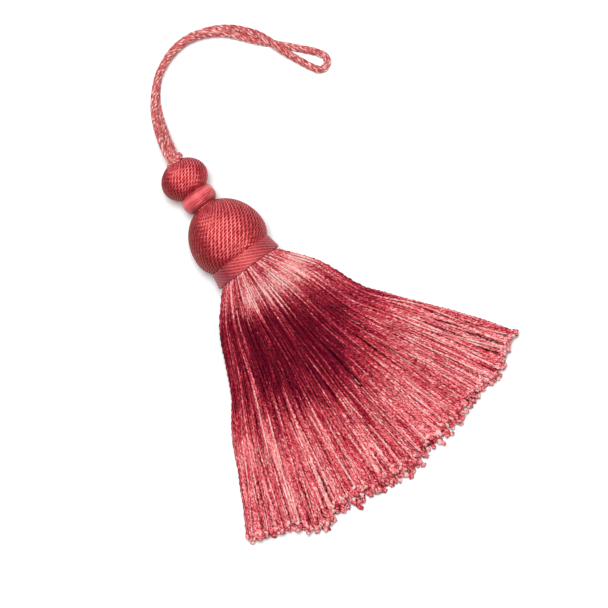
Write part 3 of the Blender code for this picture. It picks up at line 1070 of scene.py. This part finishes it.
    def scale(self):
        """Thickness of the yarns as a share of their full width."""
        left = self.length[:, None] - self.run
        swell = 1 + 0.65 * ramp_up(-left, -1.7, -0.5)
        close = np.sqrt(np.clip((left + 0.02) / 0.35, 0.05, 1))
        return (0.82 + 0.18 * ramp_up(self.down, 0, 0.5)) * swell * close

    def dye(self):
        """Depth of the dye along each yarn, from 0 (pale) to 1 (deep crimson)."""
        count = len(self.share)
        own = self.own[:, None]
        share = self.share[:, None]
        s = self.down + (own - 0.5) * (0.04 + 0.14 * self.down)
        # The deep band: where it starts and stops, how deep it gets, and the dye outside it
        start = 0.17 + 0.045 * np.tanh(2.5 * share)
        start = start - 0.06 * ramp_up(-share, 0.4, 0.85) - 0.015 * ramp_up(share, 0.1, 0.5)
        stop = 0.55 + 0.09 * np.exp(-((share / 0.4) ** 2)) - 0.03 * ramp_up(share, 0.3, 0.9)
        peak = 1.16 - 0.43 * ramp_up(share, 0.05, 1.0) - 0.26 * ramp_up(-share, 0.45, 1.0)
        base = 0.38 - 0.1 * ramp_up(share, 0.5, 0.9)
        band = ramp_up(s, start - 0.08, start + 0.15) * (1 - ramp_up(s, stop - 0.2, stop + 0.17))
        depth = base + band * (peak - base)
        # Paler dye below the collar together with a painted highlight where the yarns bend over, a painted
        # shadow just under the collar, paler at the cut end
        root = np.exp(-(((s - 0.115) / 0.05) ** 2)) * ramp_up(share, -0.9, -0.35)
        collar_shadow = np.exp(-(((s - 0.035) / 0.032) ** 2))
        depth = depth - 0.42 * root + 0.06 * collar_shadow * ramp_up(own, 0.15, 0.7)
        depth = depth - 0.14 * ramp_up(self.run - self.length[:, None], -2.4, -0.6)
        # Chance from yarn to yarn: streaks near the root, the whole yarn's mood, and a few pale ones,
        # which are paler yarns and painted highlight streaks together
        streaks = self.chance.normal(0, 0.1, count)[:, None] * (1 - ramp_up(s, 0.12, 0.3))
        mood = self.chance.normal(0, 0.08, count)[:, None] + streaks
        pale_and_glinting = (self.chance.random(count) < 0.18)[:, None] * 0.33
        return np.clip(depth + mood - pale_and_glinting, -0.1, 1.25)


def yarn_piece(name, lot, pick, pitch, finish):
    """One mesh for the picked yarns of a lot, each a pair of plies twisted together."""
    run, own, lines = lot.run[pick], lot.own[pick][:, None], lot.lines[pick]
    side, up = carried_frames(lines)
    wander = 0.35 * np.sin(run * 0.9 + 40 * own)
    turn = 2 * math.pi * (run / pitch * lot.tight[pick][:, None] + own) + wander
    corner = np.arange(4) * math.pi / 2
    angle = corner + turn[..., None]
    across = np.cos(angle)[..., None] * side[:, :, None] + np.sin(angle)[..., None] * up[:, :, None]
    radius = (lot.scale()[pick] * lot.width / 2)[..., None] * PLY_PAIR
    places = lines[:, :, None] + radius[..., None] * across
    readings = {
        "dye": lot.tone[pick][..., None],
        "rise": across[..., 2],
        "reach": run[..., None],
        "own": 400 * own[..., None],
        "round_x": 1.5 * np.cos(corner),
        "round_y": 1.5 * np.sin(corner),
    }
    return tube_piece(name, places, finish, readings)


def top_lot(skirt, chance):
    """Yarns on top of the skirt, evenly spaced but for a little chance, and drawn into clumps."""
    number = np.arange(skirt.top_yarns)
    share = 2 * (number + 0.5) / skirt.top_yarns - 1 + chance.normal(0, 0.003, skirt.top_yarns)
    level = 0.97 - 0.16 * ((number * GOLDEN) % 1.0)
    return YarnLot(np.clip(share, -1, 1), level, chance, TOP_STEP, skirt, 0.13)


def under_lot(skirt, chance):
    """Yarns that fill the skirt, spread through its pile."""
    number = np.arange(skirt.under_yarns)
    share = 2 * (number + 0.5) / skirt.under_yarns - 1
    level = 0.88 - 0.84 * ((number * GOLDEN + 0.3) % 1.0) ** 1.5
    return YarnLot(share, level, chance, UNDER_STEP, skirt, 0.0)


class TASSEL_OT_skirt(bpy.types.Operator):
    """Lay the skirt, yarn by yarn"""

    bl_idname = "tassel.skirt"
    bl_label = "Skirt"

    def execute(self, context):
        skirt = context.scene.tassel_skirt
        finish = yarn_finish("skirt_yarn", skirt, 0.35, 0.5)
        inner_finish = yarn_finish("inner_yarn", skirt, 0.05, 0.15)
        chance = np.random.default_rng(11)
        top, under = top_lot(skirt, chance), under_lot(skirt, chance)
        top.settle(0.0)
        # The under yarns are dyed deeper: painted shade inside the skirt
        under.settle(0.12)
        twist = skirt.twist_length / MM
        thirds = (("left", -2.0, -0.34), ("middle", -0.34, 0.34), ("right", 0.34, 2.0))
        halves = (("left", -2.0, 0.0), ("right", 0.0, 2.0))
        layers = (
            ("top", top, twist, finish, thirds),
            ("under", under, 1.5 * twist, inner_finish, halves),
        )
        for layer, lot, pitch, look, parts in layers:
            for word, low, high in parts:
                pick = (lot.share >= low) & (lot.share < high)
                piece = yarn_piece(f"skirt_{layer}_{word}", lot, pick, pitch, look)
                settled_piece(piece, "skirt")
        return {"FINISHED"}


OPERATORS = (
    TASSEL_OT_stage,
    TASSEL_OT_cord,
    TASSEL_OT_knot,
    TASSEL_OT_small_ball,
    TASSEL_OT_neck_ring,
    TASSEL_OT_large_ball,
    TASSEL_OT_collar,
    TASSEL_OT_skirt,
)


class TASSEL_PT_panel(bpy.types.Panel):
    """Pieces of the key tassel and their settings"""

    bl_label = "Key Tassel"
    bl_idname = "TASSEL_PT_panel"
    bl_space_type = "VIEW_3D"
    bl_region_type = "UI"
    bl_category = "Key Tassel"

    def draw(self, context):
        for operator in OPERATORS:
            self.layout.operator(operator.bl_idname)
        for key, group in SETTINGS.items():
            box = self.layout.box()
            for setting in group.__annotations__:
                box.prop(getattr(context.scene, key), setting)


SETTINGS = {
    "tassel_head": TASSEL_PG_head,
    "tassel_skirt": TASSEL_PG_skirt,
    "tassel_cord": TASSEL_PG_cord,
    "tassel_stage": TASSEL_PG_stage,
}
CLASSES = (*SETTINGS.values(), *OPERATORS, TASSEL_PT_panel)


def register():
    for entry in CLASSES:
        bpy.utils.register_class(entry)
    for key, group in SETTINGS.items():
        setattr(bpy.types.Scene, key, PointerProperty(type=group))


def unregister():
    for key in SETTINGS:
        delattr(bpy.types.Scene, key)
    for entry in reversed(CLASSES):
        bpy.utils.unregister_class(entry)


def main():
    register()
    bpy.ops.tassel.stage()
    bpy.ops.tassel.cord()
    bpy.ops.tassel.knot()
    bpy.ops.tassel.small_ball()
    bpy.ops.tassel.neck_ring()
    bpy.ops.tassel.large_ball()
    bpy.ops.tassel.collar()
    bpy.ops.tassel.skirt()


if __name__ == "__main__":
    main()
